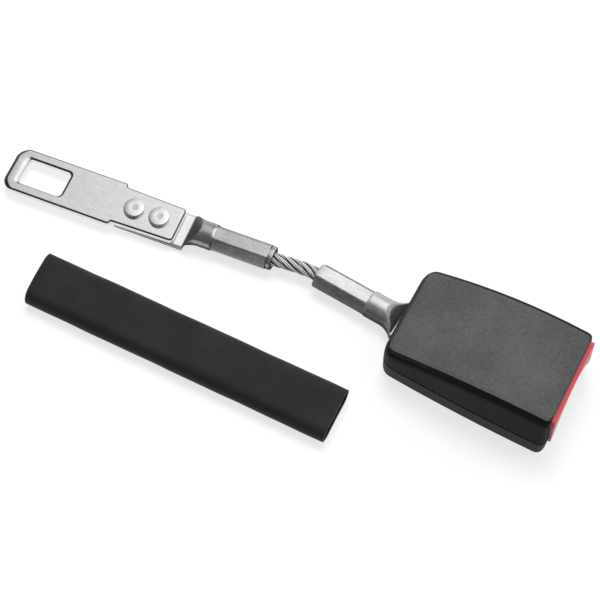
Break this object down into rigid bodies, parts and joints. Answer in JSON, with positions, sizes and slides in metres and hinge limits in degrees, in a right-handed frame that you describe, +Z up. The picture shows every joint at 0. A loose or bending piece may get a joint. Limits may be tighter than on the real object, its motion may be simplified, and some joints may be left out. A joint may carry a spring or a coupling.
{
  "type": "seat belt extender",
  "caption": "Seat belt extender: a steel tongue riveted to a crimped rope terminal, a short wire rope, a push-button buckle and a loose cover sleeve.",
  "frame": {"origin": "centre of the buckle's flat underside", "axes": "+X from the rope towards the buckle's release button, +Z up from the surface it lies on"},
  "size_m": [0.262, 0.0902, 0.0286],
  "materials": {
    "casing_plastic": "fine grain",
    "button_plastic": "satin",
    "tongue_steel": "satin plated",
    "rivet_steel": "satin plated",
    "tube_steel": "plated, crimp marks",
    "rope_steel": "bright wire",
    "frame_steel": "plated sheet",
    "spring_steel": "drawn wire",
    "ejector_plastic": "plain",
    "sleeve_rubber": "satin"
  },
  "bodies": {
    "buckle": {"upper_cover": "casing_plastic", "lower_cover": "casing_plastic", "buckle_frame": "frame_steel", "latch_pivot_pin": "rivet_steel", "anchor_rivet": "rivet_steel", "buckle_terminal": "tube_steel", "wire_rope": "rope_steel", "button_spring_left": "spring_steel", "button_spring_right": "spring_steel", "latch_spring": "spring_steel", "ejector_spring": "spring_steel", "cover_sleeve": "sleeve_rubber"},
    "button": {"release_button": "button_plastic"},
    "latch_lever": {"latch": "frame_steel"},
    "ejector_slide": {"ejector": "ejector_plastic"},
    "tongue_end": {"tongue_terminal": "tube_steel", "tongue_plate": "tongue_steel", "tongue_rivet_front": "rivet_steel", "tongue_rivet_rear": "rivet_steel"}
  },
  "joints": [
    {"name": "button_press", "type": "slide", "parent": "buckle", "child": "button", "axis": [-1, 0, 0], "range_m": [0, 0.005], "stiffness_N_per_m": 800, "springref_m": -0.002, "deforming": ["button_spring_left", "button_spring_right"]},
    {"name": "latch_lift", "type": "hinge", "parent": "buckle", "child": "latch_lever", "pos_m": [-0.012, 0, 0.0135], "axis": [0, -1, 0], "range_deg": [0, 14], "deforming": ["latch_spring"]},
    {"name": "ejector_push", "type": "slide", "parent": "buckle", "child": "ejector_slide", "axis": [-1, 0, 0], "range_m": [0, 0.0068], "stiffness_N_per_m": 300, "springref_m": -0.003, "deforming": ["ejector_spring"]},
    {"name": "rope_flex", "type": "hinge", "parent": "buckle", "child": "tongue_end", "pos_m": [-0.08871, 0.00252, 0.006], "axis": [0, 0, 1], "range_deg": [-30, 10], "stiffness_Nm_per_rad": 0.5, "deforming": ["wire_rope"]}
  ],
  "couplings": [
    {"joint": "latch_lift", "follows": "button_press", "rad_per_m": 48.8}
  ]
}
